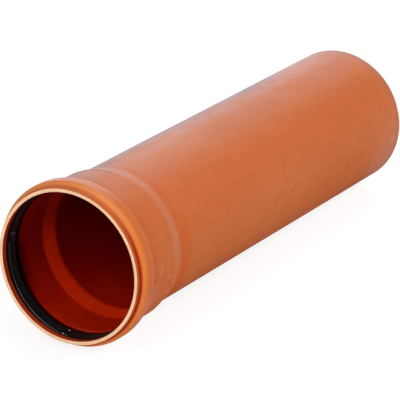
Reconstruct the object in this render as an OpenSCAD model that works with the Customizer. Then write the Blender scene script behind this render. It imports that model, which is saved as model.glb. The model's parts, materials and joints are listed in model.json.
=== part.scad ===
// Drain pipe of PVC-U with a belled socket, and the rubber lip seal that sits in the socket's groove.
// The pipe is one extruded tube. Its end was heated and formed over a mandrel, which gave it the
// socket, the raised bead with the seal's groove inside it, and the short lip at the mouth.
// It lies unheld on level ground: the bead is the widest ring, so the socket end is a little raised.
// Origin: bottom centre of the bounding box. +X runs along the pipe, from the mouth to the spigot.

/* [Pipe] */
// Outside radius of the plain pipe and of its spigot
pipe_r = 80; // [55:0.5:200]
// Wall thickness of the plain pipe
pipe_wall = 4; // [3:0.1:8]
// Laying length, from the root of the socket to the spigot end
laying_len = 500; // [250:10:3000]
// Length of the lead-in chamfer on the spigot
chamfer_len = 3; // [1:0.5:6]
// Angle between the chamfer and the pipe's axis
chamfer_angle = 30; // [15:1:35]
// Rounding of the cut edges of the spigot
cut_edge_round = 0.3; // [0.1:0.05:0.4]

/* [Socket] */
// Depth of the socket, from its mouth to its root
socket_depth = 95; // [80:1:200]
// Radial gap between the socket and a spigot inside it
socket_gap = 0.3; // [0.1:0.05:0.8]
// Wall thickness of the socket
socket_wall = 3.7; // [3:0.1:8]
// Length of the shoulder, the cone between the socket and the pipe
shoulder_len = 21; // [12:1:40]
// How far the outside of the shoulder lies behind the inside
shoulder_lag = 2; // [0:0.5:4]
// Rounding where the shoulder runs into the socket and into the pipe
shoulder_round = 8; // [2:1:15]

/* [Lip] */
// Radial gap between the lip and a spigot inside it
lip_gap = 1.4; // [1:0.1:3]
// Wall thickness of the lip
lip_wall = 3.9; // [3:0.1:6]
// Length of the lip outside, from the mouth to the crease before the bead
lip_len = 5.1; // [4:0.1:12]
// Depth of the crease below the outside of the lip
crease_depth = 0.6; // [0.2:0.1:1]
// Rounding of the two edges of the mouth
mouth_round = 0.7; // [0.2:0.1:1.2]

/* [Bead] */
// Height of the bead above the outside of the socket
bead_height = 6.7; // [5.5:0.1:9]
// Length of the bead's front flank, along the pipe
front_flank_len = 6; // [5:0.5:10]
// Length of the bead's crest, along the pipe
crest_len = 13.7; // [12.5:0.1:20]
// Length of the bead's rear flank, along the pipe
rear_flank_len = 6.9; // [6:0.1:15]
// Wall thickness at the crest
crest_wall = 3.8; // [3:0.1:4.6]
// Rounding of the crest's front edge
crest_front_round = 3.5; // [1:0.5:5]
// Rounding of the crest's rear edge
crest_rear_round = 10; // [4:0.5:12]
// Rounding at the foot of the rear flank
foot_round = 2; // [1:0.5:4]

/* [Seal] */
// Gap between the root of the seal and the groove
seal_gap = 0.3; // [0.15:0.05:0.5]
// Radial gap between the lip of the seal and a spigot, which the lip just meets
seal_lip_gap = 0.05; // [0.02:0.01:0.3]
// Length of the seal's lip, from the nose to the tip
seal_lip_len = 13; // [11:0.2:15]
// Thickness of the seal's lip near its tip
seal_lip_wall = 1.9; // [1.4:0.1:2.2]
// Thickness of the seal's root, which fills the crest of the groove
seal_root_wall = 1.8; // [1.2:0.1:2.4]
// Length of the seal's root along the crest of the groove
seal_root_len = 6.8; // [4:0.2:7.6]
// Depth of the slot between the mouth's lip and the front of the seal
seal_slot = 3; // [1.2:0.1:3.6]
// Rounding of the seal's edges
seal_round = 0.6; // [0.2:0.1:0.8]

/* [Hidden] */
$fn = 128;

// Stations along the pipe, counted from the mouth
total_len = socket_depth + laying_len;
chamfer_start = total_len - chamfer_len;
shoulder_end = socket_depth + shoulder_lag / 2;
shoulder_start = shoulder_end - shoulder_len;
crest_start = lip_len + front_flank_len;
crest_end = crest_start + crest_len;
bead_end = crest_end + rear_flank_len;

// Radii
bore_r = pipe_r - pipe_wall;
chamfer_r = pipe_r - chamfer_len * tan(chamfer_angle);
socket_bore_r = pipe_r + socket_gap;
socket_r = socket_bore_r + socket_wall;
lip_bore_r = pipe_r + lip_gap;
lip_r = lip_bore_r + lip_wall;
crease_r = lip_r - crease_depth;
crest_r = socket_r + bead_height;
groove_r = crest_r - crest_wall;
crease_round = 0.9;

// The inside follows the outside at the wall's thickness, so each inner corner is shifted along the
// pipe by a mitre: the wall times the tangent of half the flank's angle.
function mitre(wall, flank_angle) = wall * tan(flank_angle / 2);
front_angle = atan((crest_r - crease_r) / front_flank_len);
rear_angle = atan(bead_height / rear_flank_len);
groove_front = crest_start + mitre(crest_wall, front_angle);
groove_rear = crest_end - mitre(crest_wall, rear_angle);
lip_end = groove_front - (groove_r - lip_bore_r) / tan(front_angle);
groove_foot = groove_rear + (groove_r - socket_bore_r) / tan(rear_angle);

// Corner list of the pipe's wall: [station, radius, rounding], round the section once
pipe_corners = [
    [0, lip_bore_r, mouth_round],
    [0, lip_r, mouth_round],
    [lip_len - 2 * crease_depth, lip_r, crease_round],
    [lip_len, crease_r, crease_round],
    [crest_start, crest_r, crest_front_round],
    [crest_end, crest_r, crest_rear_round],
    [bead_end, socket_r, foot_round],
    [shoulder_start, socket_r, shoulder_round],
    [shoulder_end, pipe_r, shoulder_round],
    [chamfer_start, pipe_r, 0],
    [total_len, chamfer_r, cut_edge_round],
    [total_len, bore_r, cut_edge_round],
    [shoulder_end - shoulder_lag, bore_r, shoulder_round],
    [shoulder_start - shoulder_lag, socket_bore_r, shoulder_round],
    [groove_foot, socket_bore_r, foot_round],
    [groove_rear, groove_r, crest_rear_round - crest_wall / 2],
    [groove_front, groove_r, crest_front_round / 2],
    [lip_end, lip_bore_r, mouth_round]
];

// The seal: a root in the groove, and a lip that leans from the nose towards the spigot's way in
seal_r = pipe_r + seal_lip_gap;
root_r = groove_r - seal_gap;
root_bore_r = root_r - seal_root_wall;
root_front = groove_front + mitre(seal_gap, front_angle);
root_rear = root_front + seal_root_len;
nose_r = seal_r + 0.9;
heel_r = lip_bore_r + seal_slot;
heel = root_front - (root_r - heel_r) / tan(front_angle);
nose = heel + 0.8;
tip = nose + seal_lip_len - 1;
slot_end = (nose + root_front) / 2 + 2.5;
slot_r = (seal_r + seal_lip_wall + root_bore_r) / 2;

seal_corners = [
    [heel, heel_r, seal_round],
    [nose, nose_r, seal_round],
    [tip - seal_lip_wall, seal_r, seal_round],
    [tip, seal_r + seal_lip_wall / 3, seal_round / 2],
    [tip - seal_lip_wall / 4, seal_r + seal_lip_wall, seal_round / 2],
    [slot_end, slot_r, seal_round],
    [root_rear - seal_root_wall / 2, root_bore_r, seal_round],
    [root_rear, root_r, seal_round],
    [root_front, root_r, seal_round]
];

// Each corner of a closed list as an arc that is tangent to its two sides, in steps of 12 degrees
function unit(v) = v / norm(v);
function flat(corner) = [corner[0], corner[1]];
function arc(centre, r, from, turn) =
    let (steps = max(2, ceil(abs(turn) / 12)))
    [for (k = [0:steps]) centre + r * [cos(from + turn * k / steps), sin(from + turn * k / steps)]];
function corner_arc(before, corner, after) =
    let (p = flat(corner),
         r = corner[2],
         back = unit(flat(before) - p),
         ahead = unit(flat(after) - p),
         half = acos(back * ahead) / 2,
         centre = p + unit(back + ahead) * r / sin(half),
         first = p + back * r / tan(half) - centre,
         turn = (180 - 2 * half) * sign(cross(-back, ahead)))
    arc(centre, r, atan2(first[1], first[0]), turn);
function rounded(corners) =
    let (n = len(corners))
    [for (i = [0:n - 1])
        each corners[i][2] == 0
            ? [flat(corners[i])]
            : corner_arc(corners[(i + n - 1) % n], corners[i], corners[(i + 1) % n])];

pipe_section = rounded(pipe_corners);
seal_section = rounded(seal_corners);

// Lying unheld, the pipe touches the ground with the bead and with the start of the chamfer
tilt = max([for (p = pipe_section) if (p[0] < bead_end) atan((p[1] - pipe_r) / (chamfer_start - p[0]))]);
low_x = min([for (p = pipe_section) p[0] * cos(tilt) - p[1] * sin(tilt)]);
high_x = max([for (p = pipe_section) p[0] * cos(tilt) + p[1] * sin(tilt)]);
ground = min([for (p = pipe_section) -p[0] * sin(tilt) - p[1] * cos(tilt)]);

// Turns a section about the pipe's axis and lays it down
module laid_ring(section) {
    translate([-(low_x + high_x) / 2, 0, -ground])
        rotate([0, 90 + tilt, 0])
            rotate_extrude()
                polygon([for (p = section) [p[1], p[0]]]);
}

module pipe() {
    color([0.78, 0.43, 0.25])
        laid_ring(pipe_section);
}

module seal_ring() {
    color([0.05, 0.05, 0.055])
        laid_ring(seal_section);
}

pipe();
seal_ring();
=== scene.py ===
# %% [markdown]
# # A socketed drain pipe of orange-brown PVC
#
# The object is half a metre of drain pipe, 160 mm across, as it lies in a merchant's yard. One end
# is belled out into a socket with a raised bead, and a black rubber ring sits inside that bead.
# The exact solids come from the CAD model. This file gives them finer surfaces and real finishes.
# Everything is in metres, in the CAD model's own frame.

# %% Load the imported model
import json
from math import atan, atan2, cos, degrees, radians, sin, tan

import bpy
import numpy as np
from mathutils import Euler, Matrix, Vector


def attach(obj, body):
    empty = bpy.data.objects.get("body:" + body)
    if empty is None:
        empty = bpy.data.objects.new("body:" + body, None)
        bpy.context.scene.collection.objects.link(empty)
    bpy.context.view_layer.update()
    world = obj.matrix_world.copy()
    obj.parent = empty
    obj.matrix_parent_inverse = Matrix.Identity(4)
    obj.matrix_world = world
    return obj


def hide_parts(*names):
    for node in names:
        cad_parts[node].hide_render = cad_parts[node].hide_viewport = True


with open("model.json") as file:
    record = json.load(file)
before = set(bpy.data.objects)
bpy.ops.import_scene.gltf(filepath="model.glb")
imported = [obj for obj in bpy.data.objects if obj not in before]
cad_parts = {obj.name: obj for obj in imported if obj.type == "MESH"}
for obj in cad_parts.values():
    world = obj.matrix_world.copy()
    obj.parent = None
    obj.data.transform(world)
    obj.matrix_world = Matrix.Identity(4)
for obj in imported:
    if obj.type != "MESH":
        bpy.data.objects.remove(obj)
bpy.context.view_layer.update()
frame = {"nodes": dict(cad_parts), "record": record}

record = frame["record"]
print("nodes:", sorted(frame["nodes"]))

# %% [markdown]
# ## The pipe's own axes
#
# The pipe lies on its bead, so its axis dips about a degree towards the spigot. Every surface and
# every pattern below is simplest in the pipe's own axes: how far along it is from the mouth, and how
# far it is from the centre line. The record's flow bore gives the line, and the solid gives the mouth.

# %% Find the centre line and the mouth
MM = 0.001


def mount(name):
    """A mount of the record: its place and its direction."""
    found = [m for m in record["mounts"] if m["name"] == name][0]
    return Vector(found["pos_m"]), Vector(found["axis"]).normalized()


line_point, along = mount("flow_bore")
solid = frame["nodes"]["pipe"].data
points = np.empty(len(solid.vertices) * 3)
solid.vertices.foreach_get("co", points)
stations = (points.reshape(-1, 3) - np.array(line_point)) @ np.array(along)
mouth = line_point + along * float(stations.min())
total_len = float(stations.max() - stations.min())
dip = atan2(-along.z, along.x)
side = Vector((0, 1, 0))
upright = Vector((sin(dip), 0, cos(dip)))
print(f"mouth at x {mouth.x:.4f} m, length {total_len:.4f} m, dip {degrees(dip):.2f} degrees")

# %% [markdown]
# ## The camera
#
# A long lens from three metres away, so that the far end looks almost as large as the near one.
# It stands in front of the mouth, to the right of the pipe's line, and looks down by 20 degrees. It
# leans by two thirds of a degree, as a camera does that is held by hand.

# %% Place the camera
LENS, SENSOR_WIDTH, FAR_CLIP = 273.45, 36, 50
HEADING, PITCH, ROLL = radians(31.058), radians(20.487), radians(-0.650)
MOUTH_FROM_CAMERA = Vector((-0.13713, -0.06979, -3.14204))  # to its right, up and behind it, in m

camera = bpy.data.objects.new("camera", bpy.data.cameras.new("camera"))
bpy.context.scene.collection.objects.link(camera)
camera.data.lens = LENS
camera.data.sensor_width = SENSOR_WIDTH
camera.data.clip_end = FAR_CLIP
level = Euler((radians(90) - PITCH, 0, HEADING - radians(90))).to_matrix()
aim = level @ Matrix.Rotation(ROLL, 3, "Z")
camera.rotation_euler = aim.to_euler()
camera.location = mouth - aim @ MOUTH_FROM_CAMERA
bpy.context.scene.camera = camera
print("camera at", tuple(round(c, 3) for c in camera.location))

# %% [markdown]
# ## A ring from a profile
#
# Pipe and seal are both turned shapes: one outline carried round the centre line. The outline is a
# list of corners, each with its own rounding, as a die maker would draw it. A modifier such as Screw
# could turn it, but a grid worked out as one array keeps every ring where it is wanted: close
# together in the roundings, and one close to each end of a straight run, so that it shades flat.

# %% Round a list of corners
ARC_STEP = radians(7)
RUN_EDGE = 0.25


def run(start, end, spacing):
    """A straight run, without its ends: one point near each end, and the rest evenly between."""
    length = np.hypot(*(end - start))
    if length < 3 * RUN_EDGE:
        return np.empty((0, 2))
    inner = np.linspace(RUN_EDGE, length - RUN_EDGE, max(2, int(length / spacing) + 1)) / length
    return start + inner[:, None] * (end - start)


def rounded(corners, spacing):
    """The closed outline with each corner [station, radius, rounding] replaced by the arc that
    touches both its sides: the arc's centre lies on the corner's bisector, at the rounding over
    the sine of half the corner's angle. Returns the points and, for each, its corner's number."""
    spots = np.array([c[:2] for c in corners], float)
    pieces, owners = [], []
    for i, (spot, size) in enumerate(zip(spots, [c[2] for c in corners])):
        back = spots[i - 1] - spot
        ahead = spots[(i + 1) % len(spots)] - spot
        back, ahead = back / np.hypot(*back), ahead / np.hypot(*ahead)
        half = np.arccos(np.clip(back @ ahead, -1, 1)) / 2
        bisector = (back + ahead) / np.hypot(*(back + ahead))
        centre = spot + bisector * size / np.sin(half)
        first = spot + back * size / np.tan(half) - centre
        turn = (np.pi - 2 * half) * np.sign(back[1] * ahead[0] - back[0] * ahead[1])
        steps = max(3, int(np.ceil(abs(turn) / ARC_STEP)))
        angle = np.arctan2(first[1], first[0]) + turn * np.linspace(0, 1, steps + 1)
        arc = centre + size * np.stack([np.cos(angle), np.sin(angle)], 1)
        if pieces:
            straight = run(pieces[-1][-1], arc[0], spacing)
            pieces.append(straight)
            owners.append(np.full(len(straight), i - 1))
        pieces.append(arc)
        owners.append(np.full(len(arc), i))
    closing = run(pieces[-1][-1], pieces[0][0], spacing)
    pieces.append(closing)
    owners.append(np.full(len(closing), len(corners) - 1))
    return np.concatenate(pieces), np.concatenate(owners)


# %% Turn an outline about the centre line
def turned(name, outline, angles, relief):
    """A closed ring: point (i, j) is outline point i turned to angle j of the full circle, at
    mouth + station * along + radius * (cos * side + sin * upright). relief(station, radius, angle)
    gives two arrays in mm that are added to the station and the radius."""
    angle = angles[None, :] + 0 * outline[:, :1]
    station = outline[:, :1] + 0 * angle
    radius = outline[:, 1:] + 0 * angle
    shift, swell = relief(station, radius, angle)
    station, radius = station + shift, radius + swell
    place = (np.array(mouth)
             + station[..., None] * MM * np.array(along)
             + (radius * np.cos(angle))[..., None] * MM * np.array(side)
             + (radius * np.sin(angle))[..., None] * MM * np.array(upright))
    rows, columns = station.shape
    i, j = np.meshgrid(np.arange(rows), np.arange(columns), indexing="ij")
    after_i, after_j = (i + 1) % rows, (j + 1) % columns
    corners = [i * columns + j, after_i * columns + j, after_i * columns + after_j, i * columns + after_j]
    quads = np.stack(corners, -1)
    mesh = bpy.data.meshes.new(name)
    mesh.vertices.add(rows * columns)
    mesh.vertices.foreach_set("co", place.reshape(-1))
    mesh.loops.add(quads.size)
    mesh.loops.foreach_set("vertex_index", quads.reshape(-1))
    mesh.polygons.add(rows * columns)
    mesh.polygons.foreach_set("loop_start", np.arange(rows * columns) * 4)
    mesh.update(calc_edges=True)
    mesh.shade_smooth()
    piece = bpy.data.objects.new(name, mesh)
    bpy.context.scene.collection.objects.link(piece)
    print(f"{name}: {rows} rings of {columns}, {2 * rows * columns} triangles")
    return piece


# %% [markdown]
# ## The pipe's wall
#
# The tube is extruded. Its end is then heated and pushed over a mandrel, which forms the socket, the
# bead that will hold the rubber ring, and the short lip at the mouth. The inside follows the outside
# at the wall's thickness, so both come from one outline that runs round the wall once: along the
# outside from the mouth to the spigot, over the cut end, and back along the inside.

# %% The wall's sizes, in mm
PIPE_R, WALL = 80.0, 4.0
BORE_R = PIPE_R - WALL
SOCKET_DEPTH, LAYING_LEN = 95.0, 500.0
SOCKET_BORE_R, SOCKET_R = 80.3, 84.0
SHOULDER_LEN, SHOULDER_LAG = 21.0, 2.0
CHAMFER_LEN, CHAMFER_ANGLE = 3.0, radians(30)
LIP_BORE_R, LIP_R, LIP_LEN, CREASE_DEPTH = 81.4, 85.3, 5.1, 0.6
BEAD_HEIGHT, CREST_WALL = 6.7, 3.8
FRONT_FLANK, CREST, REAR_FLANK = 6.0, 13.7, 6.9

spigot_end = SOCKET_DEPTH + LAYING_LEN
shoulder_end = SOCKET_DEPTH + SHOULDER_LAG / 2
shoulder_start = shoulder_end - SHOULDER_LEN
crest_start = LIP_LEN + FRONT_FLANK
crest_end = crest_start + CREST
bead_end = crest_end + REAR_FLANK
crease_r = LIP_R - CREASE_DEPTH
crest_r = SOCKET_R + BEAD_HEIGHT
groove_r = crest_r - CREST_WALL
front_angle = atan((crest_r - crease_r) / FRONT_FLANK)
rear_angle = atan(BEAD_HEIGHT / REAR_FLANK)
groove_front = crest_start + CREST_WALL * tan(front_angle / 2)
groove_rear = crest_end - CREST_WALL * tan(rear_angle / 2)
lip_end = groove_front - (groove_r - LIP_BORE_R) / tan(front_angle)
groove_foot = groove_rear + (groove_r - SOCKET_BORE_R) / tan(rear_angle)
chamfer_r = PIPE_R - CHAMFER_LEN * tan(CHAMFER_ANGLE)
print(f"bead from {LIP_LEN} to {bead_end:.1f} mm, shoulder from {shoulder_start} to {shoulder_end} mm")

# %% The wall's outline
# Each corner is [station, radius, rounding]. The outside comes first, then the inside backwards.
outside_corners = [
    [0, LIP_R, 0.7],
    [LIP_LEN - 2 * CREASE_DEPTH, LIP_R, 0.9],
    [LIP_LEN, crease_r, 0.9],
    [crest_start, crest_r, 3.5],
    [crest_end, crest_r, 10.0],
    [bead_end, SOCKET_R, 2.0],
    [shoulder_start, SOCKET_R, 8.0],
    [shoulder_end, PIPE_R, 8.0],
    [spigot_end - CHAMFER_LEN, PIPE_R, 1.0],
    [spigot_end, chamfer_r, 0.3],
]
inside_corners = [
    [spigot_end, BORE_R, 0.3],
    [shoulder_end - SHOULDER_LAG, BORE_R, 8.0],
    [shoulder_start - SHOULDER_LAG, SOCKET_BORE_R, 8.0],
    [groove_foot, SOCKET_BORE_R, 2.0],
    [groove_rear, groove_r, 8.0],
    [groove_front, groove_r, 1.8],
    [lip_end, LIP_BORE_R, 0.7],
    [0, LIP_BORE_R, 0.7],
]
wall_outline, wall_owner = rounded(outside_corners + inside_corners, spacing=12.0)
print(len(wall_outline), "rings in the wall's outline")

# %% What saw and hand left on it
CUT_DEPTH, CUT_REACH = 0.10, 1.5
PRESS_DEPTH, PRESS_WIDTH = 0.10, 8.0
UNDERSIZE = 0.03


def waves(angle, *terms):
    """A sum of sines round the pipe, each given as (count, height in mm, phase)."""
    return sum(height * np.sin(count * angle + phase) for count, height, phase in terms)


def saw_and_hand(station, radius, angle):
    """Each cut end wanders by up to two tenths of a millimetre as the saw went round. The bead's wall
    is pressed in by as much in places, along a bell curve of the station, and all but the bore lies
    a little nearer to the centre line than drawn. So nothing grows past the drawn size."""
    near_mouth = np.clip(1 - station / CUT_REACH, 0, 1)
    near_end = np.clip(1 - (spigot_end - station) / CUT_REACH, 0, 1)
    cut = CUT_DEPTH + waves(angle, (3, 0.04, 0.4), (7, 0.03, 1.9), (23, 0.015, 0.0))
    on_bead = np.exp(-((station - (crest_start + crest_end) / 2) / PRESS_WIDTH) ** 2)
    press = PRESS_DEPTH + waves(angle, (2, 0.05, 1.1), (5, 0.03, 0.3))
    undersize = UNDERSIZE * (radius > PIPE_R - 1)
    return (near_mouth - near_end) * cut, -on_bead * press - undersize


# %% Build the pipe
even_turn = np.linspace(0, 2 * np.pi, 360, endpoint=False)
pipe = turned("pipe_wall", wall_outline, even_turn, saw_and_hand)
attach(pipe, "root")
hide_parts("pipe")

# %% [markdown]
# ## The rubber ring
#
# A lip seal has a thick root that grips the groove inside the bead, and a thin lip that leans
# inward, away from the mouth. A spigot that is pushed in bends the lip open and runs on under it.

# %% The ring's sizes, in mm
SEAL_GAP, SEAL_LIP_GAP = 0.3, 0.05
SEAL_LIP_LEN, SEAL_LIP_WALL = 13.0, 1.9
SEAL_ROOT_LEN, SEAL_ROOT_WALL = 6.8, 1.8
SEAL_SLOT, SEAL_ROUND = 3.0, 0.6
NOSE_LIFT, NOSE_LEN, NOSE_ROUND = 0.9, 0.8, 0.8

seal_r = PIPE_R + SEAL_LIP_GAP
root_r = groove_r - SEAL_GAP
root_bore_r = root_r - SEAL_ROOT_WALL
root_front = groove_front + SEAL_GAP * tan(front_angle / 2)
root_rear = root_front + SEAL_ROOT_LEN
nose_r = seal_r + NOSE_LIFT
heel_r = LIP_BORE_R + SEAL_SLOT
heel = root_front - (root_r - heel_r) / tan(front_angle)
nose = heel + NOSE_LEN
tip = nose + SEAL_LIP_LEN - 1
slot_end = (nose + root_front) / 2 + 2.5
slot_r = (seal_r + SEAL_LIP_WALL + root_bore_r) / 2
print(f"lip from {nose:.1f} to {tip:.1f} mm, root from {root_front:.1f} to {root_rear:.1f} mm")

# %% The ring's outline
LIP_CORNER, NOSE_CORNER = 6, 7
seal_corners = [
    [root_front, root_r, SEAL_ROUND],
    [root_rear, root_r, SEAL_ROUND],
    [root_rear - SEAL_ROOT_WALL / 2, root_bore_r, SEAL_ROUND],
    [slot_end, slot_r, SEAL_ROUND],
    [tip - SEAL_LIP_WALL / 4, seal_r + SEAL_LIP_WALL, SEAL_ROUND / 2],
    [tip, seal_r + SEAL_LIP_WALL / 3, SEAL_ROUND / 2],
    [tip - SEAL_LIP_WALL, seal_r, SEAL_ROUND],
    [nose, nose_r, NOSE_ROUND],
    [heel, heel_r, SEAL_ROUND],
]
seal_outline, seal_owner = rounded(seal_corners, spacing=0.32)
print(len(seal_outline), "rings in the seal's outline")

# %% The mould's mark in the lip
MARK_STATION, MARK_ANGLE = 15.2, radians(10)
MARK_LENGTH, MARK_WIDTH, MARK_ROUND = 7.6, 8.6, 2.0
MARK_DEPTH, LINE_WIDTH = 0.35, 0.45


def mould_mark(station, radius, angle):
    """A shallow groove that runs round a rounded rectangle: its depth falls off as a bell curve of
    the distance to that rectangle's edge, on the inner face of the lip only."""
    along_lip = np.abs(station - MARK_STATION) - (MARK_LENGTH / 2 - MARK_ROUND)
    round_lip = np.abs(angle - MARK_ANGLE) * seal_r - (MARK_WIDTH / 2 - MARK_ROUND)
    outside = np.hypot(np.maximum(along_lip, 0), np.maximum(round_lip, 0))
    edge = outside + np.minimum(np.maximum(along_lip, round_lip), 0) - MARK_ROUND
    inner_face = radius < seal_r + 1.0
    return inner_face * MARK_DEPTH * np.exp(-(edge / LINE_WIDTH) ** 2)


# %% How the soft lip sits
SWING, SWING_ANGLE, BIAS = 3.0, radians(45), 0.8
NEARER, DEEPER = 2.1, 1.0
SOFT_HEIGHT = 2.4


def as_it_sits(station, radius, angle):
    """The soft lip never sits quite even in its groove: its nose stands two millimetres nearer to the
    mouth below on the near side, and one deeper above on the far side. The shift is a cosine of the
    angle, held between these two. It is full at the nose, and nothing at the tip and at the root."""
    lean = np.clip(SWING * np.cos(angle - SWING_ANGLE) - BIAS, -NEARER, DEEPER)
    from_tip = np.clip((tip - station) / (tip - nose), 0, 1)
    from_root = np.clip((heel_r - radius) / SOFT_HEIGHT, 0, 1)
    return lean * from_tip * from_root, mould_mark(station, radius, angle)


# %% Build the rubber ring
# Its sections stand close together at the mark, so that the mark's thin line has a shape.
FINE_STEP, FINE_STEPS = radians(0.16), 24
mark_turn = MARK_ANGLE + FINE_STEP * np.arange(-FINE_STEPS, FINE_STEPS + 1)
away_from_mark = np.abs(even_turn - MARK_ANGLE) > FINE_STEP * (FINE_STEPS + 0.5)
seal_turn = np.sort(np.concatenate([even_turn[away_from_mark], mark_turn]))
seal = turned("rubber_ring", seal_outline, seal_turn, as_it_sits)
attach(seal, "root")
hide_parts("seal_ring")

# %% [markdown]
# ## Short calls for node trees
#
# A finish is a tree of nodes: patterns go in on the left, the shader stands on the right. Built by
# hand in the editor they are quick to make and hard to repeat, so here each tree is written out, with
# one short call for each kind of node that the finishes need.


# %% Calls for any tree
class Tree:
    """A node tree. Each call adds a node and returns its output socket."""

    def __init__(self, tree):
        self.tree = tree

    def node(self, kind, inputs=(), **settings):
        """Any node: its settings, and its inputs by name or number. Returns the node itself."""
        made = self.tree.nodes.new(kind)
        for key, value in settings.items():
            setattr(made, key, value)
        for key, value in dict(inputs).items():
            self.join(value, made.inputs[key])
        return made

    def join(self, value, socket):
        """Puts another node's output or a constant into a socket. A colour's fourth value is 1."""
        if isinstance(value, bpy.types.NodeSocket):
            self.tree.links.new(value, socket)
        elif socket.type == "RGBA":
            socket.default_value = (*value, 1.0)
        else:
            socket.default_value = value

    def maths(self, operation, *values):
        """The first value and the second, then their result and the third, and so on."""
        result = values[0]
        for value in values[1:]:
            result = self.node("ShaderNodeMath", {0: result, 1: value}, operation=operation).outputs[0]
        return result

    def product(self, *values):
        return self.maths("MULTIPLY", *values)

    def total(self, *values):
        return self.maths("ADD", *values)

    def less(self, first, second):
        return self.maths("SUBTRACT", first, second)

    def most(self, *values):
        return self.maths("MAXIMUM", *values)

    def size_of(self, value):
        """The value without its sign."""
        return self.node("ShaderNodeMath", {0: value}, operation="ABSOLUTE").outputs[0]

    def vector(self, operation, inputs, output=0):
        """Maths on vectors. Output 0 is the vector that it gives, and output 1 the number."""
        return self.node("ShaderNodeVectorMath", inputs, operation=operation).outputs[output]

    def fade(self, value, start, end, low=0.0, high=1.0):
        """Goes smoothly from low at start to high at end, and stays there."""
        return self.node("ShaderNodeMapRange", {0: value, 1: start, 2: end, 3: low, 4: high},
                         interpolation_type="SMOOTHSTEP").outputs[0]

    def where(self, mask, off, on):
        """The number off where the mask is 0, and the number on where it is 1."""
        return self.fade(mask, 0, 1, off, on)

    def band(self, value, centre, half_width, soft):
        """One within half_width of centre, fading to nothing over soft on both sides."""
        away = self.size_of(self.less(value, centre))
        return self.fade(away, half_width, half_width + soft, 1.0, 0.0)

    def blend(self, amount, first, second):
        """First colour at amount 0, second at 1."""
        mix = self.node("ShaderNodeMix", data_type="RGBA", clamp_factor=True)
        for key, value in (("Factor", amount), ("A", first), ("B", second)):
            self.join(value, mix.inputs[key])
        return mix.outputs["Result"]

    def shade(self, colour, amount):
        """The colour made lighter or darker: times amount."""
        grey = self.node("ShaderNodeCombineColor", {0: amount, 1: amount, 2: amount}).outputs[0]
        mix = self.node("ShaderNodeMix", data_type="RGBA", blend_type="MULTIPLY")
        for key, value in (("Factor", 1.0), ("A", colour), ("B", grey)):
            self.join(value, mix.inputs[key])
        return mix.outputs["Result"]

    def seen(self):
        """One for what the camera sees, straight or mirrored or through glass, and 0 for soft light."""
        rays = self.node("ShaderNodeLightPath").outputs
        return self.most(rays["Is Camera Ray"], rays["Is Glossy Ray"], rays["Is Transmission Ray"])


# %% A finish, laid on coat by coat
class Finish(Tree):
    """A new material. Its colour is what the coats so far have made of it."""

    def __init__(self, name):
        self.material = bpy.data.materials.new(name)
        self.material.use_nodes = True
        super().__init__(self.material.node_tree)
        self.shader = self.tree.nodes["Principled BSDF"]

    def lay(self, amount, colour):
        """Lays a colour over the finish so far, as thick as amount."""
        self.colour = self.blend(amount, self.colour, colour)

    def tone(self, amount):
        """Makes the finish so far lighter or darker: times amount."""
        self.colour = self.shade(self.colour, amount)

    def complete(self, rough, gloss, height, depth):
        """Joins colour and roughness to the shader, sets how much it mirrors, and makes of a height
        from 0 to 1 a relief that is depth metres deep."""
        bump = self.node("ShaderNodeBump", {"Height": height, "Distance": depth, "Strength": 1.0})
        self.join(self.colour, self.shader.inputs["Base Color"])
        self.join(rough, self.shader.inputs["Roughness"])
        self.join(gloss, self.shader.inputs["Specular IOR Level"])
        self.join(bump.outputs[0], self.shader.inputs["Normal"])
        print(f"{self.material.name}: {len(self.tree.nodes)} nodes")


# %% [markdown]
# ### Finding the way on the pipe
#
# A texture painted on unwrapped faces would need an image. Here Object coordinates are turned and
# moved to the pipe's own axes inside each material instead, so a stain is placed as a fitter would
# say it: so far from the mouth, and so high up the side.


# %% A finish that knows the pipe's axes
def pipe_point(station, angle, radius):
    """A point in the pipe's own axes, in metres, from mm and degrees. The angle counts from the far
    side, up over the top."""
    return Vector((station, radius * cos(radians(angle)), radius * sin(radians(angle)))) * MM


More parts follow.
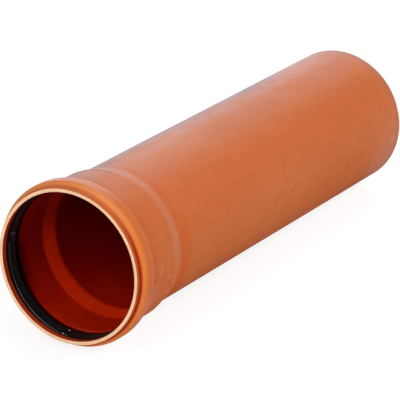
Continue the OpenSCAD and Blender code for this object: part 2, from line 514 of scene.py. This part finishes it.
class PipeFinish(Finish):
    """A finish with the pipe's own axes: station along it from the mouth, across it to the far side,
    and reach from its centre line. top is 1 on top and -1 underneath, far_side 1 on the far side."""

    def __init__(self, name):
        super().__init__(name)
        turn = (0, -dip, 0)
        tilted = Vector((mouth.x * cos(dip) - mouth.z * sin(dip), 0,
                         mouth.x * sin(dip) + mouth.z * cos(dip)))
        here = self.node("ShaderNodeTexCoord").outputs["Object"]
        moved = self.node("ShaderNodeMapping", {0: here, "Location": -tilted, "Rotation": turn})
        self.place = moved.outputs[0]
        self.station, self.across, up = self.node("ShaderNodeSeparateXYZ", {0: self.place}).outputs
        squares = self.total(self.product(self.across, self.across), self.product(up, up))
        self.reach = self.node("ShaderNodeMath", {0: squares}, operation="SQRT").outputs[0]
        self.top = self.maths("DIVIDE", up, self.reach)
        self.far_side = self.maths("DIVIDE", self.across, self.reach)

    def by_station(self, start, end, low=0.0, high=1.0):
        """A fade along the pipe, from start to end in mm from the mouth."""
        return self.fade(self.station, start * MM, end * MM, low, high)

    def by_height(self, start, end, low=0.0, high=1.0):
        """A fade up the side of the pipe, which is 1 on top and -1 underneath."""
        return self.fade(self.top, start, end, low, high)

    def belt(self, centre, half_width, soft):
        """A band right round the pipe, in mm from the mouth."""
        return self.band(self.station, centre * MM, half_width * MM, soft * MM)

    def grain(self, scale, detail=3.0, roughness=0.5, stretch=(1, 1, 1), shift=(0, 0, 0)):
        """Noise of about one wave in 1/scale metres, from 0 to 1, stretched along each axis."""
        moved = self.node("ShaderNodeMapping", {0: self.place, "Location": shift, "Scale": stretch})
        noise = {"Vector": moved.outputs[0], "Scale": scale, "Detail": detail, "Roughness": roughness}
        return self.node("ShaderNodeTexNoise", noise).outputs["Fac"]

    def soft_edge(self, away, width, soft):
        """One within half the width, in mm, fading across the edge over that share of the width."""
        return self.fade(away, width * MM * (1 - soft) / 2, width * MM * (1 + soft) / 2, 1.0, 0.0)

    def spots(self, points, size, soft=0.4):
        """Round spots of that size, in mm, at points given as (station in mm, angle in degrees,
        radius in mm)."""
        away = [self.vector("DISTANCE", {0: self.place, 1: pipe_point(*point)}, 1) for point in points]
        return self.soft_edge(self.maths("MINIMUM", *away), size, soft)

    def scratches(self, lines, radius, soft):
        """Straight marks on a round surface. Each line is (station, angle, station, angle, width),
        from end to end in mm and degrees. The foot of a point on a line is a share of the stroke, by
        the dot product, held between 0 and 1."""
        masks = []
        for first, turn, last, end_turn, width in lines:
            start = pipe_point(first, turn, radius)
            stroke = pipe_point(last, end_turn, radius) - start
            from_start = self.vector("SUBTRACT", {0: self.place, 1: start})
            share = self.vector("DOT_PRODUCT", {0: from_start, 1: stroke / stroke.length_squared}, 1)
            held = self.maths("MINIMUM", self.most(share, 0.0), 1.0)
            foot = self.vector("SCALE", {0: stroke, 3: held})
            away = self.vector("DISTANCE", {0: from_start, 1: foot}, 1)
            masks.append(self.soft_edge(away, width, soft))
        return self.most(*masks)


print("node calls ready")

# %% [markdown]
# ## Drawn and weathered PVC
#
# The outside is matt orange-brown, coloured all through. It carries faint lines along its length from
# the die, a few thin rings from the puller and the saw, and rubbed and speckled places from handling.
# A pale bloom of dust lies along the top, where it stood uncovered, and with it painted sheen. The
# bead was pressed in a polished tool, so it is smoother and a clearer orange. Painted highlight lies
# on the bead's flank, painted sheen on the shoulder, and painted shade in the crease, on the lip, at
# the far edge of the top, behind the bead's foot, behind the shoulder and underneath. Each of these
# is a mask over one base colour, laid on in the order in which it came to the real pipe. One image
# could hold all of it, but masks on Object coordinates need no file and stay sharp at any distance.

# %% The base colour: patches, mottle and drawing lines
ORANGE, ORANGE_DEEP = (0.582, 0.149, 0.041), (0.54, 0.118, 0.031)

coat = PipeFinish("weathered_pvc")
patches = coat.grain(9, stretch=(0.7, 1, 1))
mottle = coat.grain(120, 3, 0.6)
fine = coat.grain(900, 2)
die_lines = coat.grain(230, 2, stretch=(0.012, 1, 1))
hoops = coat.grain(260, 2, stretch=(1, 0.12, 0.12))
clouds = coat.grain(22, 4, 0.6, stretch=(0.5, 1, 1), shift=(0, 0.2, 0))

coat.colour = coat.blend(coat.fade(patches, 0.35, 0.68, 0.0, 0.5), ORANGE, ORANGE_DEEP)
for pattern, strength in ((mottle, 0.038), (die_lines, 0.02), (hoops, 0.014), (fine, 0.024)):
    coat.tone(coat.fade(pattern, 0.25, 0.75, 1 - strength, 1 + strength))
print("base colour ready")

# %% The bead, its crease and the lip
FLANK_HIGHLIGHT, FLANK_HIGHLIGHT_TOP = (0.69, 0.183, 0.034), (0.73, 0.235, 0.070)
CREST_ORANGE, CREST_LOW = (0.575, 0.147, 0.020), (0.570, 0.136, 0.026)
LIP_SHADE_ORANGE, LIP_SHADE_LOW = (0.530, 0.122, 0.024), (0.465, 0.092, 0.010)
CREASE_SHADE_RED = (0.35, 0.021, 0.001)

# painted highlight: the bead's front flank is lighter than the pipe, palest on top
flank_highlight = coat.blend(coat.by_height(0.5, 0.9), FLANK_HIGHLIGHT, FLANK_HIGHLIGHT_TOP)
crest = coat.blend(coat.by_height(0.70, 0.35), CREST_ORANGE, CREST_LOW)
# painted shade: the outside of the lip is darker than the pipe, darker still below its top
lip = coat.blend(coat.by_height(0.80, 0.45), LIP_SHADE_ORANGE, LIP_SHADE_LOW)
on_bead = coat.by_station(bead_end + 0.8, bead_end - 3.2)
on_crest = coat.belt(17.5, 7.0, 5.0)
on_flank = coat.by_station(crest_start + 3.9, crest_start - 2.1)
past_crease = coat.by_station(LIP_LEN + 1.5, LIP_LEN + 3.5)
in_crease = coat.belt(LIP_LEN + 0.4, 0.9, 1.7)
on_lip = coat.by_station(LIP_LEN - 0.6, LIP_LEN - 1.6)
clean_crest = coat.product(coat.by_height(1.0, 0.7), coat.by_height(-0.45, -0.05, 0.2, 1.0))
coat.lay(coat.product(on_crest, clean_crest, 0.8), crest)
coat.lay(coat.product(past_crease, on_flank), flank_highlight)
coat.lay(coat.product(on_lip, 0.9), lip)
# painted shade in the crease, least on top
crease_shade = coat.product(in_crease, coat.by_height(1.0, 0.3, 0.05, 1.0))
coat.lay(crease_shade, CREASE_SHADE_RED)
print("bead ready")

# %% [markdown]
# ### Marks of making and handling
#
# The puller and the saw leave thin rings. Sand and stones leave specks and short scratches, some of
# them dark and some pale. The larger ones are set one by one, because noise alone looks even, and a
# real pipe has long clean stretches and then a cluster of marks.

# %% Rings and rub marks
STAIN_AND_SHADOW = (0.36, 0.052, 0.012)
RING_SOFT = 1.7
# The first ring, just behind the bead, is painted shadow of its foot; the rest are marks.
RINGS_AND_SHADOW_LINE = [  # station in mm, width in mm, strength
    (38, 1.4, 0.32), (272, 1.0, 0.15), (322, 1.0, 0.15), (527, 2.8, 0.34), (545, 0.8, 0.12),
    (552, 1.0, 0.20), (558, 0.8, 0.22), (565, 1.0, 0.26), (574, 1.0, 0.20), (583, 0.8, 0.16)]

worn = coat.fade(coat.grain(14, 2, shift=(0.3, 0, 0)), 0.36, 0.6, 0.15, 1.0)
belts = [coat.product(coat.belt(at, width / 2, RING_SOFT), strength) for at, width, strength in RINGS_AND_SHADOW_LINE]
rings = coat.product(coat.most(*belts), worn)
rub_rings = coat.grain(330, stretch=(1, 0.03, 0.03))
near_spigot = coat.by_station(spigot_end - 95, spigot_end - 20)
rubbed = coat.product(near_spigot, coat.fade(rub_rings, 0.45, 0.75), 0.20)
# stains and rubbing, and the painted shadow behind the bead
coat.lay(coat.product(coat.most(rings, rubbed), 0.55), STAIN_AND_SHADOW)
print(len(RINGS_AND_SHADOW_LINE), "rings")

# %% Painted shade behind the shoulder, and a darker spigot end
# The band in the bend after the shoulder is painted a little deeper, as shade, most of all on its side.
# The last two centimetres before the spigot's end are a little darker too.
BEND_SHADE_ORANGE = (0.565, 0.111, 0.021)

shade_all_round = coat.product(coat.belt(shoulder_end + 3, 3.5, 6.5), 0.50)
shade_on_its_side = coat.product(coat.by_station(shoulder_end - 6, shoulder_end + 1),
                           coat.by_station(shoulder_end + 27, shoulder_end + 12),
                           coat.by_height(0.60, 0.25), 0.85)
shade_behind_shoulder = coat.most(shade_all_round, shade_on_its_side)
coat.lay(shade_behind_shoulder, BEND_SHADE_ORANGE)
coat.tone(coat.by_station(spigot_end - 20, spigot_end - 0.5, 1.0, 0.86))
print("heated band ready")

# %% Dark specks and scratches
BOLD_SPECKS = [  # station in mm, angle in degrees, radius in mm
    (39.5, 189, 84), (75, 200, 84)]
DARK_SPECKS = [
    (38, 171, 84), (41, 198, 84), (245.5, 181.5, 80), (334, 181, 80), (555, 157, 80)]
FAINT_SPECKS = [
    (38, 181, 84), (50.5, 155, 84), (178.5, 160, 80), (579, 151, 80), (570, 193, 80),
    (70.5, 128, 84), (106, 163, 80), (500, 184, 80), (340, 178, 80), (270.5, 161, 80),
    (418, 183, 80), (470, 191, 80), (30.5, 205, 84)]
DARK_SCRATCHES = [  # station, angle, station, angle, width, in mm and degrees
    (324.5, 157.5, 321, 162, 1.4), (341, 177, 339, 179, 2.4), (334, 181, 332.5, 182, 2.2),
    (501, 183, 499.5, 185.5, 2.2), (555, 155, 554, 157, 2.4), (271.5, 159, 270, 162.5, 1.4),
    (418.5, 182, 417, 184.5, 1.8), (470, 190, 469, 192, 1.8)]

bold = coat.product(coat.spots(BOLD_SPECKS, 3.4, 0.7), 0.95)
dark = coat.product(coat.spots(DARK_SPECKS, 2.8, 0.8), 0.5)
faint = coat.product(coat.spots(FAINT_SPECKS, 3.0, 1.0), 0.25)
scratches = coat.product(coat.scratches(DARK_SCRATCHES, PIPE_R, 1.0), 0.4)
scatter = coat.product(coat.fade(coat.grain(310, 1, shift=(0.11, 0, 0)), 0.74, 0.84), 0.26)
marks = coat.most(scatter, dark, faint, bold, scratches)
coat.lay(marks, STAIN_AND_SHADOW)
print(len(BOLD_SPECKS + DARK_SPECKS + FAINT_SPECKS), "specks and", len(DARK_SCRATCHES), "dark scratches")

# %% [markdown]
# ### Dust, scuffs, painted sheen and painted shade
#
# Dust settles on whatever faces up, so its mask grows with the height round the pipe; near the top it
# also carries painted sheen. At the far edge of the top it is grey with painted shade rather than pink.
# The shoulder's cone carries a pale grey painted sheen rather than pink dust.

# %% The bloom along the top: dust and painted sheen
# Dust lies where the wall faces up, and a little to the far side, and there it also carries painted
# sheen. It is thin on the polished bead and on the band behind the shoulder, and thickest on the socket.
DUST_STEPS = [  # from station and to station in mm, and the factors before and after
    (11, 16, 0.03, 0.56), (30, 40, 1.0, 1.78), (100, 112, 1.0, 0.88), (250, 320, 1.0, 1.05),
    (515, 550, 1.0, 0.93)]

skyward = coat.total(coat.product(coat.top, 0.94), coat.product(coat.far_side, 0.34))
film = coat.grain(48, 4, 0.6, stretch=(0.6, 1, 1), shift=(0.4, 0.1, 0))
# dust, and painted sheen near the top and a little to the far side
dust_and_sheen = coat.total(coat.fade(skyward, 0.45, 1.0, 0.0, 0.42), coat.fade(skyward, 0.86, 1.0, 0.0, 0.70))
uneven = coat.product(coat.fade(clouds, 0.25, 0.75, 0.62, 0.98), coat.fade(film, 0.32, 0.62, 0.80, 1.22))
dust_and_sheen = coat.product(dust_and_sheen, uneven, coat.where(shade_behind_shoulder, 1.0, 0.62), 0.40)
for start, end, low, high in DUST_STEPS:
    dust_and_sheen = coat.product(dust_and_sheen, coat.by_station(start, end, low, high))
print("bloom ready")

# %% Rubbed and handled places, and painted sheen on the shoulder
below = coat.by_height(0.75, 0.0)
rubbed_pale = coat.product(coat.by_station(spigot_end - 95, spigot_end - 5), below,
                           coat.by_height(0.1, -0.6, 0.09, 0.23))
handled = coat.product(coat.by_station(10, 14), coat.by_station(60, 40), coat.by_height(0.0, -0.45),
                       coat.by_height(-0.85, -0.45, 0.2, 1.0), 0.11)
# the shoulder's belt of painted sheen ends sooner low down, and a thin rubbed line has less of it
narrowed = coat.total(coat.station, coat.by_height(-0.15, -0.36, 0.0, 3.5 * MM))
on_shoulder = coat.product(coat.by_station(shoulder_start + 0.5, shoulder_start + 7),
                           coat.fade(narrowed, (shoulder_end - 2) * MM, (shoulder_end - 4.8) * MM))
rub_line = coat.belt(shoulder_end - 8.8, 0.4, 1.2)
# painted sheen on the shoulder's cone, strongest on top
shoulder_sheen = coat.product(on_shoulder, 0.14, coat.where(rub_line, 1.0, 0.55),
                         coat.fade(clouds, 0.3, 0.7, 0.7, 1.05), coat.by_height(-0.35, 0.3, 0.3, 1.0))
print("shoulder ready")

# %% Pale scuffs
SOCKET_SCUFFS = [  # station, angle, station, angle, width, in mm and degrees
    (51, 179, 50, 185.5, 3.4), (65, 189, 70.5, 193.5, 2.2), (83, 193, 86.5, 201.5, 2.6),
    (68, 203, 76.5, 208, 2.6)]
PIPE_SCUFFS = [
    (443, 75, 432, 81, 4), (432, 81, 430, 87, 4.5), (430, 87, 438, 90, 5.5), (438, 90, 458, 91, 5),
    (401, 87.5, 399, 87, 5), (537, 201.5, 534.5, 203.5, 5)]
PALE_BLOTCHES = [
    (404, 88, 394, 87, 9), (325, 86, 310, 86, 12), (290, 84, 277, 85, 10), (577, 188, 575.5, 190, 7),
    (236, 87, 222, 85, 10)]

scuffs = coat.most(coat.product(coat.scratches(SOCKET_SCUFFS, SOCKET_R, 1.0), 0.5),
                   coat.product(coat.scratches(PIPE_SCUFFS, PIPE_R, 1.0), 0.75),
                   coat.product(coat.scratches(PALE_BLOTCHES, PIPE_R, 1.0), 0.55))
scuffs = coat.product(scuffs, coat.fade(mottle, 0.3, 0.6, 0.5, 1.0), 0.30)
print(len(SOCKET_SCUFFS + PIPE_SCUFFS + PALE_BLOTCHES), "pale scuffs")

# %% Lay the dust and the painted sheen on
# It is pink on the socket, in places tan along the pipe, and grey on the shoulder, where it is painted
# sheen.
BLOOM_AND_SHEEN, TAN_BLOOM, SHOULDER_SHEEN = (0.63, 0.45, 0.45), (0.60, 0.33, 0.17), (0.45, 0.435, 0.40)

bloom_and_sheen = coat.total(dust_and_sheen, rubbed_pale, handled, shoulder_sheen, scuffs)
warm_grain = coat.grain(36, 3, 0.6, stretch=(0.7, 1, 1), shift=(0, 0.5, 0.3))
warm_film = coat.product(coat.fade(warm_grain, 0.50, 0.62, 0.0, 0.6), coat.by_station(100, 160),
                         coat.fade(skyward, 0.91, 0.97, 1.0, 0.35))
dust_and_sheen_colour = coat.blend(on_shoulder, coat.blend(warm_film, BLOOM_AND_SHEEN, TAN_BLOOM), SHOULDER_SHEEN)
coat.lay(bloom_and_sheen, dust_and_sheen_colour)
print("dust ready")

# %% Grey dust with painted shade, smears and dirt
GREY_DUST_AND_SHADE, SMEAR, DIRT = (0.37, 0.335, 0.37), (0.31, 0.32, 0.37), (0.22, 0.135, 0.115)
SMEARS = [(394, 67, 402, 75, 9.0), (402, 75, 409, 76, 8.0), (396, 66, 409, 68, 9.0)]
DIRT_STREAKS = [(95, 77, 120, 75, 14.0), (38, 70, 74, 70, 11.0), (210, 67, 330, 67, 7.0)]

upper = coat.by_height(0.1, 0.75)
# grey dust with painted shade along the far edge of the top; grey dust alone near the spigot's end
grey_and_shade_side = coat.product(coat.fade(coat.far_side, 0.12, 0.34), upper, 0.36)
dust_and_shade_edge = coat.product(coat.band(coat.far_side, 0.355, 0.045, 0.09), upper, 0.62)
spigot_grey = coat.product(coat.by_station(spigot_end - 25, spigot_end - 3, 0.0, 0.20),
                           coat.by_height(0.3, 0.95, 0.10, 1.0))
grey = coat.product(coat.most(grey_and_shade_side, dust_and_shade_edge, spigot_grey), coat.by_station(10, 36),
                    coat.fade(clouds, 0.3, 0.7, 0.75, 1.0))
coat.lay(grey, GREY_DUST_AND_SHADE)
coat.lay(coat.product(coat.scratches(SMEARS, PIPE_R, 1.3), 0.80), SMEAR)
dirt = coat.product(coat.scratches(DIRT_STREAKS, PIPE_R, 1.2), coat.fade(mottle, 0.3, 0.6, 0.6, 1.0),
                    coat.fade(film, 0.36, 0.54, 0.3, 1.0), 0.52)
coat.lay(dirt, DIRT)
print(len(SMEARS), "smears and", len(DIRT_STREAKS), "streaks of dirt")

# %% Darker and lighter places
# A thin belt before the shoulder is darker on its far side. The underside is a little darker, as
# painted shade, and the bead's crest and flank are a little lighter there, as painted light.
darker_belt = coat.product(coat.belt(shoulder_start - 2.2, 1.6, 2.2), coat.fade(coat.far_side, -0.20, 0.00))
coat.tone(coat.where(darker_belt, 1.0, 0.80))
shaded_underside = coat.product(coat.by_height(-0.3, -0.8), coat.by_station(90, 100, 0.1, 1.0))
coat.tone(coat.where(shaded_underside, 1.0, 0.9))
lit_bead_underside = coat.product(on_bead, past_crease, coat.by_height(-0.05, -0.40))
coat.tone(coat.where(lit_bead_underside, 1.0, 1.08))
print("tones ready")

# %% [markdown]
# ### Gloss and fine relief
#
# Weathered PVC has little gloss. Dust and the side that lay on the ground have less still, and the
# pressed bead has more. The relief is only a few hundredths of a millimetre: drawing lines, grain,
# and the rings.

# %% Roughness and relief
PVC_GLOSS, PVC_RELIEF = 0.14, 0.06 * MM

rough = coat.total(coat.fade(clouds, 0.3, 0.7, 0.54, 0.64), coat.product(on_bead, -0.12),
                   coat.product(bloom_and_sheen, 0.2), coat.product(crease_shade, 0.4), coat.by_height(0.3, -0.5, 0.0, 0.3))
height = coat.total(coat.product(die_lines, 0.5), coat.product(fine, 0.3),
                    coat.product(rub_rings, near_spigot, 0.5), coat.product(coat.most(rings, marks), -0.6))
coat.complete(rough, PVC_GLOSS, height, PVC_RELIEF)

# %% [markdown]
# ## The bore and the sawn ends
#
# Inside, the wall was never touched by dust or sun. It is a deep clean orange-red, drawn smooth by the
# mandrel. The two ends are sawn: the saw whitens the plastic and leaves fine curved lines.

# %% The inside's clear red, darker towards the top
# The light falls in through the mouth onto the lower half. Behind the shoulder it reaches less, and
# only the cone of the shoulder, which faces the mouth, is lit in full.
DEEP_RED, DEEPER_RED, CONE_RED = (0.46, 0.0095, 0.0012), (0.46, 0.0050, 0.0008), (0.74, 0.026, 0.002)

bore = PipeFinish("bore_pvc")
draw_lines = bore.grain(240, 2, stretch=(0.01, 1, 1))
cloud = bore.grain(16)
deeper = bore.by_station(shoulder_end - 11, shoulder_end)
farther = bore.by_station(shoulder_end + 4, shoulder_end + 44)
low_light = bore.total(bore.where(deeper, 1.24, 0.97), bore.where(farther, 0.0, 0.24))
high_light = bore.less(bore.where(deeper, 0.60, 0.44), bore.where(farther, 0.0, 0.12))
light = bore.node("ShaderNodeMapRange", {0: bore.top, 1: -0.9, 2: 0.25, 3: low_light, 4: high_light})
bore.colour = bore.shade(bore.blend(deeper, DEEP_RED, DEEPER_RED), light.outputs[0])
on_cone = bore.product(bore.by_station(shoulder_start - 3.8, shoulder_start + 1.5),
                       bore.by_station(shoulder_end + 0.2, shoulder_end - 7.5))
cone_light = bore.product(bore.by_height(-0.2, 0.3, 1.12, 0.48), bore.by_height(-0.85, -0.5, 0.92, 1.0))
bore.lay(on_cone, bore.shade(CONE_RED, cone_light))
print("clear red ready")

# %% The groove and the lip: dust, painted light and painted shade
FLOOR_DUST, FOOT_HIGHLIGHT = (0.5, 0.09, 0.004), (0.50, 0.17, 0.12)
LIT_LIP_RED, LIP_SHADE = (0.52, 0.056, 0.012), (0.48, 0.036, 0.010)
BORE_RELIEF = 0.03 * MM

dust_below = bore.product(bore.by_height(-0.65, -0.98), bore.fade(cloud, 0.3, 0.7, 0.6, 1.0), 0.10)
bore.lay(dust_below, FLOOR_DUST)
# painted light near the groove low down, then painted shade behind the ring on the far side and on the
# groove's rear flank
lit = bore.product(bore.by_station(42, 33), bore.band(bore.top, -0.95, 0.05, 0.17), 0.15)
bore.tone(bore.total(1.0, lit))
far_half = bore.fade(bore.across, -10 * MM, 10 * MM)
shadowed = bore.product(bore.by_station(48, 31), bore.band(bore.top, -0.22, 0.10, 0.36), far_half, 0.70)
bore.tone(bore.less(1.0, shadowed))
nearer = bore.less(bore.station, bore.by_height(-0.85, -0.55, 0.0, 0.9 * MM))
bore.tone(bore.less(1.0, bore.fade(nearer, 30.8 * MM, 27.8 * MM, 0.0, 0.94)))
# painted highlight on the groove's foot, at the bottom
foot_highlight = bore.product(bore.belt(30.3, 0.2, 0.8), bore.by_height(-0.90, -0.985),
                         bore.fade(bore.across, 30 * MM, -10 * MM), 0.30)
bore.lay(foot_highlight, FOOT_HIGHLIGHT)
# the lip inside the mouth is painted lighter, as light falling in, with painted shade higher up
bore.lay(bore.by_station(8.5, 6), bore.blend(bore.by_height(-0.7, -0.1), LIT_LIP_RED, LIP_SHADE))
bore.tone(bore.fade(cloud, 0.3, 0.7, 0.93, 1.07))
bore.tone(bore.fade(draw_lines, 0.3, 0.7, 0.97, 1.03))
bore.complete(bore.fade(cloud, 0.3, 0.7, 0.42, 0.5), 0.0, draw_lines, BORE_RELIEF)

# %% The sawn ends
CREAM, CREAM_DEEP = (0.94, 0.60, 0.37), (0.80, 0.40, 0.19)
SAW_GLOSS, SAW_RELIEF = 0.3, 0.05 * MM

sawn = PipeFinish("sawn_pvc")
saw_lines = sawn.grain(700, 2, stretch=(1, 0.25, 1))
sawn.colour = sawn.blend(sawn.fade(sawn.grain(60), 0.4, 0.75, 0.0, 0.5), CREAM, CREAM_DEEP)
sawn.tone(sawn.fade(saw_lines, 0.3, 0.7, 0.95, 1.05))
sawn.complete(0.6, SAW_GLOSS, saw_lines, SAW_RELIEF)

# %% Give each run of the wall its finish
# A face belongs to the run that follows its corner, so the corner's number says inside or outside.
# The sawn finish also takes the burr on the edges: a tenth of a millimetre outside, more inside.
OUTSIDE, INSIDE, SAWN = 0, 1, 2
BURR_OUTSIDE, BURR_INSIDE, BURR_SPIGOT = 0.12, 0.38, 0.2

for finish in (coat, bore, sawn):
    pipe.data.materials.append(finish.material)
between = (wall_outline[:, 0] + np.roll(wall_outline[:, 0], -1)) / 2
finish_of = np.where(wall_owner >= len(outside_corners), INSIDE, OUTSIDE)
burr = np.where(finish_of == OUTSIDE, BURR_OUTSIDE, BURR_INSIDE)
finish_of[(between < burr) | (between > spigot_end - BURR_SPIGOT)] = SAWN
face_finish = np.repeat(finish_of, len(even_turn)).astype(np.int32)
pipe.data.polygons.foreach_set("material_index", face_finish)
print("faces outside, inside, sawn:", np.bincount(face_finish).tolist())

# %% [markdown]
# ## Black rubber
#
# Moulded rubber is nearly black and only catches light at its edges. It has picked up a few grains of
# saw dust.

# %% The rubber of the lip
BLACK, WORN_BLACK = (0.0012, 0.0012, 0.0014), (0.0028, 0.0028, 0.0034)

rubber = PipeFinish("black_rubber")
skin = rubber.grain(350)
rubber.colour = rubber.blend(rubber.fade(rubber.grain(30), 0.35, 0.7), BLACK, WORN_BLACK)
print("rubber begun")

# %% Painted highlight on the mould's mark
# The same rounded rectangle as in the relief: how far past its straight sides a point lies, along
# the lip and round it, and from these the distance to its edge.
MARK_HIGHLIGHT = (0.34, 0.34, 0.33)

round_it = rubber.vector("DOT_PRODUCT", {0: rubber.place, 1: (0, -sin(MARK_ANGLE), cos(MARK_ANGLE))}, 1)
towards_it = rubber.vector("DOT_PRODUCT", {0: rubber.place, 1: (0, cos(MARK_ANGLE), sin(MARK_ANGLE))}, 1)
along_it = rubber.less(rubber.station, MARK_STATION * MM)
past_length = rubber.less(rubber.size_of(along_it), (MARK_LENGTH / 2 - MARK_ROUND) * MM)
past_width = rubber.less(rubber.size_of(round_it), (MARK_WIDTH / 2 - MARK_ROUND) * MM)
past_both = {0: rubber.most(past_length, 0.0), 1: rubber.most(past_width, 0.0)}
corner = rubber.node("ShaderNodeCombineXYZ", past_both).outputs[0]
from_corner = rubber.vector("LENGTH", {0: corner}, 1)
inside_it = rubber.maths("MINIMUM", rubber.most(past_length, past_width), 0.0)
line = rubber.band(rubber.total(from_corner, inside_it), MARK_ROUND * MM, 0.20 * MM, 0.65 * MM)
line = rubber.product(line, rubber.fade(towards_it, 0, 20 * MM),
                      rubber.fade(rubber.reach, 81.8 * MM, 81.2 * MM),
                      rubber.fade(round_it, -1.0 * MM, 4.2 * MM, 0.07, 1.0))
# painted highlight along the mark's rim, strongest on its upper side
rubber.lay(rubber.product(line, rubber.fade(skin, 0.3, 0.6, 0.3, 0.65)), MARK_HIGHLIGHT)
print("mark ready")

# %% Painted highlight on the nose, and dust on the lip
NOSE_HIGHLIGHT_GREY, SAW_DUST = (0.060, 0.046, 0.045), (0.92, 0.85, 0.80)
DUST_GRAINS = [  # station in mm, angle in degrees, radius in mm
    (22.5, -51.5, 80.2), (19.8, -81.5, 80.2), (10.1, -80.4, 80.9)]
FAINT_GRAINS = [
    (9.3, -83.2, 81.6), (14.5, -75.0, 80.8), (17.5, 24.0, 80.6), (15.0, -66.0, 80.7), (19.0, 30.0, 80.3)]
RUBBER_GLOSS, RUBBER_RELIEF, COOL_SHINE = 0.44, 0.01 * MM, (0.84, 0.92, 0.95)

# painted highlight on the lip's nose, low down on the far side
nose_highlight = rubber.product(rubber.by_station(13.0, 11.9), rubber.by_height(-0.50, -0.80),
                           rubber.fade(rubber.across, 10 * MM, 30 * MM))
rubber.lay(rubber.product(nose_highlight, 0.7), NOSE_HIGHLIGHT_GREY)
faint_dust = rubber.product(rubber.spots(FAINT_GRAINS, 1.2), 0.3)
rubber.lay(rubber.most(rubber.spots(DUST_GRAINS, 1.7), faint_dust), SAW_DUST)
wiped = rubber.product(rubber.by_station(14.5, 12.2), rubber.fade(rubber.across, 0, 22 * MM),
                       rubber.by_height(0.3, 0.05))
rough = rubber.less(rubber.fade(skin, 0.3, 0.7, 0.48, 0.55), rubber.product(wiped, 0.38))
rubber.complete(rough, RUBBER_GLOSS, skin, RUBBER_RELIEF)
rubber.join(COOL_SHINE, rubber.shader.inputs["Specular Tint"])
seal.data.materials.append(rubber.material)

# %% The dull rubber in front of the lip and behind it
# No spigot ever wipes these faces, so they keep the mould's dull skin and a little of its powder.
DULL_GLOSS, DULL_RELIEF = 0.06, 0.02 * MM

dull = PipeFinish("dull_rubber")
powder = dull.grain(260)
dull.colour = dull.blend(dull.fade(powder, 0.4, 0.75), BLACK, WORN_BLACK)
dull.complete(dull.fade(powder, 0.3, 0.7, 0.66, 0.78), DULL_GLOSS, powder, DULL_RELIEF)
seal.data.materials.append(dull.material)

# %% Which faces of the ring are glossy
# The lip's nose was rubbed bright on one side only, where the pipes in a stack lay against it.
WIPED_ANGLE, WIPED_HALF = radians(-40), radians(46)

on_nose = (seal_owner == NOSE_CORNER) & (seal_outline[:, 1] < nose_r + 0.4)
wiped_part = np.cos(seal_turn - WIPED_ANGLE) > cos(WIPED_HALF)
lip_face = (seal_owner == LIP_CORNER)[:, None] | (on_nose[:, None] & wiped_part[None, :])
seal.data.polygons.foreach_set("material_index", np.where(lip_face, 0, 1).astype(np.int32).reshape(-1))
print("glossy faces:", int(lip_face.sum()), "dull faces:", int((~lip_face).sum()))

# %% [markdown]
# ## The studio
#
# A white floor and white surroundings, seen by the camera and by reflections only, so that they don't
# wash out the colours. The floor still takes the pipe's shadow. Six soft boxes light the object.

# %% Floor
FLOOR_SIZE = 30
FLOOR_GREY, SHADOW_GREY = (0.8, 0.8, 0.8), (0.25, 0.25, 0.25)

bpy.ops.mesh.primitive_plane_add(size=FLOOR_SIZE)
floor = bpy.context.object
floor.name = "floor"
ground = Finish("studio_floor")
for key, value in (("Base Color", FLOOR_GREY), ("Roughness", 1.0), ("Specular IOR Level", 0.0)):
    ground.join(value, ground.shader.inputs[key])
# what the camera sees of it glows a little less near the pipe, so that the shadow there shows
away = ground.vector("LENGTH", {0: ground.node("ShaderNodeTexCoord").outputs["Object"]}, 1)
strength = ground.fade(away, 0.9, 1.9, 0.84, 1.0)
glow = ground.node("ShaderNodeEmission", {"Color": (1, 1, 1), "Strength": strength}).outputs[0]
matt = ground.node("ShaderNodeBsdfDiffuse", {"Color": SHADOW_GREY}).outputs[0]
both = ground.node("ShaderNodeAddShader", {0: matt, 1: glow}).outputs[0]
plain = ground.shader.outputs[0]
choice = ground.node("ShaderNodeMixShader", {0: ground.seen(), 1: plain, 2: both}).outputs[0]
ground.join(choice, ground.tree.nodes["Material Output"].inputs["Surface"])
floor.data.materials.append(ground.material)
print("floor ready")

# %% Surroundings
SURROUND = 0.02  # how bright they are as a light; the camera sees them at 1

world = bpy.data.worlds.new("studio")
bpy.context.scene.world = world
world.use_nodes = True
sky = Tree(world.node_tree)
background = world.node_tree.nodes["Background"]
sky.join(sky.where(sky.seen(), SURROUND, 1.0), background.inputs["Strength"])
sky.join((1, 1, 1), background.inputs["Color"])
print("surroundings ready")

# %% Soft boxes
SOFT_BOXES = {
    # name: (azimuth, elevation, distance in m, width, height, watts)
    "mouth_box": (182, 10, 2.6, 1.4, 0.8, 25),
    "front_top_box": (185, 45, 2.6, 1.4, 0.8, 16),
    "side_box": (275, 38, 2.6, 1.6, 1.2, 43),
    "top_box": (0, 78, 2.4, 1.6, 1.6, 7),
    "back_box": (20, 30, 2.8, 1.6, 0.8, 26),
    "low_back_box": (38, 12, 2.8, 1.2, 0.8, 14),
}
PIPE_MIDDLE = Vector((0, 0, 0.09))

for name, (azimuth, elevation, distance, wide, tall, watts) in SOFT_BOXES.items():
    a, e = radians(azimuth), radians(elevation)
    out = Vector((cos(e) * cos(a), cos(e) * sin(a), sin(e)))
    lamp = bpy.data.lights.new(name, "AREA")
    lamp.shape = "RECTANGLE"
    lamp.size, lamp.size_y = wide, tall
    lamp.energy = watts
    box = bpy.data.objects.new(name, lamp)
    bpy.context.scene.collection.objects.link(box)
    box.location = out * distance + PIPE_MIDDLE
    box.rotation_euler = out.to_track_quat("Z", "Y").to_euler()

bpy.context.scene.view_settings.view_transform = "Standard"
print(len(SOFT_BOXES), "soft boxes")
